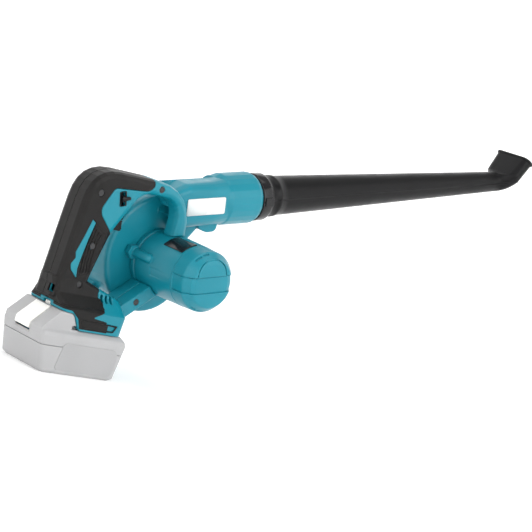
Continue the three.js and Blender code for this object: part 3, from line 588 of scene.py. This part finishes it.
middle_band = cap_skin(0.9, -8.5, 7.5)
edge_high = cap_skin(1.6, 7.5, 8.5)
edge_low = cap_skin(1.6, -9.5, -8.5)
arch_line = [(18.2, -90), (19.1, -90), (19.1, -80.5), (18.2, -80.5)]
arch = turned("arch", arch_line, HEAD, (-1, 8.5), 96)
carve(arch, block("half", (-40, 40), (-95, -70), (-40, 8.5), HEAD))
slots = [
    arc_patch("slot", 29.5, 8, low, high, -76.2, -73.8, 16)
    for low, high in ((94, 108), (112, 128), (232, 246), (250, 266))
]
carve(cap, middle_band, edge_high, edge_low, arch, *slots)
moulded(cap, 0.4, 3)
dress(cap, SHELL, "housing", "shell", "motor_end_cap")
baffle_line = [(0, -79), (23, -79), (29.5, -72.5), (29.5, -71), (0, -71)]
baffle = turned("cap_baffle", baffle_line, HEAD)
dress(baffle, BLACK, "housing", "black_plastic")

# ----------------------------------------------------------------------------------------------
# Nozzle: flange with lock tab, long taper, bent flat tip with a rolled rim

TIP_ANGLE = math.radians(50)
BEND_X = 528.3  # where the axes of tube and tip meet
BEND_RADIUS = 20
LEAD = BEND_RADIUS * math.tan(TIP_ANGLE / 2)
TIP_REACH = 38 - LEAD  # from the end of the bend to the mouth
TIP_HALF_WIDTH = 27
TIP_HALF_HEIGHT = 8
TUBE_END_RADIUS = 12.2
TUBE_BORE_DROP = 1.8  # wall of the tip and the bend
TAPER_START = 157.9
TAPER_END = BEND_X - LEAD
BEND_STEPS = 12


def straight(x, radius):
    """A round section across the duct's axis."""
    return oval((x, OUTLET_Y, OUTLET_Z), (0, 1, 0), (0, 0, 1), radius, radius, radius)


def taper(share, start_radius, end_radius):
    """A section of the taper, share of the way to the bend."""
    radius = start_radius + (end_radius - start_radius) * share
    return straight(TAPER_START + (TAPER_END - TAPER_START) * share, radius)


def bend_ring(share, along, wall, lip=0.0):
    """A section in the bend (share of the turn) or past it (distance along the tip)."""
    angle = share * TIP_ANGLE
    blend = share * 0.85 if along <= 0 else 0.85 + 0.15 * min(along / TIP_REACH, 1)
    centre = (
        BEND_X - LEAD + BEND_RADIUS * math.sin(angle) + along * math.cos(angle),
        OUTLET_Y,
        OUTLET_Z + BEND_RADIUS * (1 - math.cos(angle)) + along * math.sin(angle),
    )
    across = (-math.sin(angle), 0, math.cos(angle))
    grow = lip - wall
    half_width = TUBE_END_RADIUS + (TIP_HALF_WIDTH - TUBE_END_RADIUS) * blend + grow
    half_height = TUBE_END_RADIUS + (TIP_HALF_HEIGHT - TUBE_END_RADIUS) * blend + grow
    smaller = min(half_width, half_height)
    return oval(centre, (0, 1, 0), across, half_width, half_height, smaller)


# Outside from the spigot to the mouth, round the lip, and back along the bore
root_profile = [
    (108.3, 21.8), (109.2, 22.2), (126.2, 22.2), (126.3, 25.7), (127.1, 26.5), (140.6, 26.5),
    (141.8, 26.0), (142.4, 25.0), (143.4, 24.0), (145.4, 23.5), (153.2, 23.1), (153.9, 23.6),
    (157.2, 23.5), (157.9, 22.6),
]
rings = [straight(x, radius) for x, radius in root_profile]
for i in range(1, 41):
    rings.append(taper(i / 40, 22.6, TUBE_END_RADIUS))
for i in range(1, BEND_STEPS + 1):
    rings.append(bend_ring(i / BEND_STEPS, 0, 0))
for share in (0.15, 0.3, 0.45, 0.6, 0.75, 0.88):
    rings.append(bend_ring(1, TIP_REACH * share, 0))
for back, lip in ((3.2, 0.0), (2.9, 0.9), (2.2, 1.5), (1.2, 1.7), (0.4, 1.3), (0.0, 0.6)):
    rings.append(bend_ring(1, TIP_REACH - back, 0, lip))
for back, wall in ((0.0, 0.9), (0.6, 1.6), (1.6, TUBE_BORE_DROP)):
    rings.append(bend_ring(1, TIP_REACH - back, wall))
for share in (0.75, 0.5, 0.25):
    rings.append(bend_ring(1, TIP_REACH * share, TUBE_BORE_DROP))
for i in range(BEND_STEPS, -1, -1):
    rings.append(bend_ring(i / BEND_STEPS, 0, TUBE_BORE_DROP))
for i in range(9, -1, -1):
    rings.append(taper(i / 10, 20.6, 10.4))
rings.append(straight(126, 20.4))
rings.append(straight(108.3, 20.4))
nozzle = loft("nozzle_tube", rings, HEAD, closed=True)
dress(nozzle, NOZZLE, "nozzle", "black_plastic", "nozzle")
band_profile = [
    (127.6, 26.3), (127.8, 26.8), (129, 27), (139, 27), (140.2, 26.8), (140.4, 26.3), (140.4, 25),
    (127.6, 25),
]
band = loft("nozzle_band", [straight(x, radius) for x, radius in band_profile], HEAD, closed=True)
dress(band, GLOSS, "nozzle", "black_plastic")
tab_shape = rounded([(129.3, 67, 1.2), (140.3, 67, 1.2), (140.3, 57, 1.2), (129.3, 57, 1.2)])
tab = prism("nozzle_lock_tab", tab_shape, OUTLET_Y - 28.2, OUTLET_Y - 24.5, HEAD)
moulded(tab, 0.3, 3)
dress(tab, GLOSS, "nozzle", "black_plastic")

# ----------------------------------------------------------------------------------------------
# Controls

blade_outline = [
    (52.8, 112.2, 0), (72.4, 112, 2.5), (68.2, 123.5, 22), (73.4, 135.1, 2.5), (52.8, 135.2, 0),
]
trigger = prism("trigger_blade", rounded(blade_outline, 14), -10.8, 10.8, TOOL)
rib_gaps = []
for k in range(9):
    low = 113.5 + 2.5 * k
    bottom = 66 + 0.03 * (low - 124) ** 2
    rib_gaps.append(block("rib_gap", (bottom, 80), (-12, 12), (low, low + 0.8), TOOL))
carve(trigger, *rib_gaps)
moulded(trigger, 0.35, 4)
dress(trigger, BLACK, "trigger", "black_plastic", "trigger")
lever = copy_of("speed_lever", "speed_knob")
fin_shape = rounded([(-2, -2.2, 0.6), (8, -1.6, 0.8), (8, 1.6, 0.8), (-2, 2.2, 0.6)])
join(lever, prism("fin", fin_shape, -21.2, -18.7, SLOT))
moulded(lever, 0.3, 3)
dress(lever, BLACK, "speed_lever", "black_plastic", "speed_lever")

# ----------------------------------------------------------------------------------------------
# Battery pack

SIDE_PANEL = [(-27, 34, 6), (46, 34, 9), (43, 4.5, 6), (-32, 4.5, 4)]
for side, word in ((-1, "right"), (1, "left")):
    near, far = sorted((side * 36, side * 38.1))
    panel = moulded(prism(f"pack_panel_{word}", rounded(SIDE_PANEL), near, far), 0.4, 4)
    dress(panel, PANEL_GREY, "battery", "pack")
tray = moulded(copy_of("battery_tray", "pack_tray"), 0.6, 6)
dress(tray, PACK, "battery", "pack", "battery_tray")
pack_top = moulded(copy_of("battery_cover", "pack_cover"), 0.6, 5)
dress(pack_top, PACK, "battery", "pack", "battery_cover")
button = moulded(copy_of("battery_button", "release_button"), 0.4, 5)
dress(button, BUTTON, "battery_button", "button", "battery_button")

# ----------------------------------------------------------------------------------------------
# Stage, lights and camera, in metres


def stage():
    """A round pale floor that rises into a wall far behind, so that no horizon shows. It glows, more
    towards the far wall: painted light.
    """
    flat, bend, top = 6.0, 2.5, 9.0
    profile = [(0.0, 0.0), (1.0, 0.0), (3.0, 0.0), (flat, 0.0)]
    for k in range(1, 13):
        angle = math.pi / 2 * k / 12
        profile.append((flat + bend * math.sin(angle), bend - bend * math.cos(angle)))
    profile.append((flat + bend, top))
    sides = 96
    points = [(0, 0, 0)]
    for radius, z in profile[1:]:
        for i in range(sides):
            angle = 2 * math.pi * i / sides
            points.append((radius * math.cos(angle), radius * math.sin(angle), z))
    faces = [(0, 1 + i, 1 + (i + 1) % sides) for i in range(sides)]
    for level in range(len(profile) - 2):
        low = 1 + level * sides
        for i in range(sides):
            j = (i + 1) % sides
            faces.append((low + i, low + sides + i, low + sides + j, low + j))
    mesh = bpy.data.meshes.new("studio_floor")
    mesh.from_pydata(points, [], faces)
    mesh.polygons.foreach_set("use_smooth", [True] * len(mesh.polygons))
    floor = bpy.data.objects.new("studio_floor", mesh)
    scene.collection.objects.link(floor)
    material = bpy.data.materials.new("studio_paper")
    material.use_nodes = True
    shader = material.node_tree.nodes["Principled BSDF"]
    shader.inputs["Base Color"].default_value = (0.9, 0.9, 0.9, 1)
    shader.inputs["Roughness"].default_value = 0.9
    shader.inputs["Specular IOR Level"].default_value = 0.1
    nodes, links = material.node_tree.nodes, material.node_tree.links
    place = nodes.new("ShaderNodeTexCoord")
    reach = nodes.new("ShaderNodeVectorMath")
    reach.operation = "LENGTH"
    links.new(place.outputs["Object"], reach.inputs[0])
    # The paper glows, faintly near the tool and more so farther out: painted light that whitens the
    # far wall and softens the tool's shadow on the floor.
    glow = nodes.new("ShaderNodeMapRange")
    glow.inputs["From Min"].default_value = 0.5
    glow.inputs["From Max"].default_value = 5.0
    glow.inputs["To Min"].default_value = 0.22
    glow.inputs["To Max"].default_value = 0.5
    links.new(reach.outputs["Value"], glow.inputs["Value"])
    links.new(glow.outputs["Result"], shader.inputs["Emission Strength"])
    shader.inputs["Emission Color"].default_value = (1, 1, 1, 1)
    mesh.materials.append(material)


def lamp(name, place, size, power):
    """A soft square light that faces the middle of the tool."""
    light = bpy.data.lights.new(name, "AREA")
    light.shape = "SQUARE"
    light.size = size
    light.energy = power
    obj = bpy.data.objects.new(name, light)
    obj.location = place
    aim = Vector((0.15, 0, 0.18)) - Vector(place)
    obj.rotation_euler = aim.to_track_quat("-Z", "Y").to_euler()
    scene.collection.objects.link(obj)


stage()
lamp("overhead", (0.1, 0.1, 2.2), 1.6, 11)
lamp("key", (0.7, -2.4, 1.3), 1.3, 15)
lamp("side", (-2.4, -0.8, 1.3), 0.9, 4)
world = bpy.data.worlds.new("studio")
world.use_nodes = True
world.node_tree.nodes["Background"].inputs["Color"].default_value = (1, 1, 1, 1)
world.node_tree.nodes["Background"].inputs["Strength"].default_value = 0.42
scene.world = world
scene.view_settings.view_transform = "Standard"

CAMERA_PLACE = (-1.2715, -1.6461, 0.3719)
AZIMUTH, ELEVATION, ROLL = (math.radians(a) for a in (-42.66, 5.70, 16.72))
camera = bpy.data.objects.new("camera", bpy.data.cameras.new("camera"))
camera.data.lens = 135.3
camera.data.sensor_width = 36
camera.data.clip_end = 100
camera.location = CAMERA_PLACE
toward = Vector((
    -math.sin(AZIMUTH) * math.cos(ELEVATION),
    math.cos(AZIMUTH) * math.cos(ELEVATION),
    -math.sin(ELEVATION),
))
level = toward.to_track_quat("-Z", "Y").to_matrix()
camera.rotation_euler = (level @ Matrix.Rotation(ROLL, 3, "Z")).to_euler()
scene.collection.objects.link(camera)
scene.camera = camera
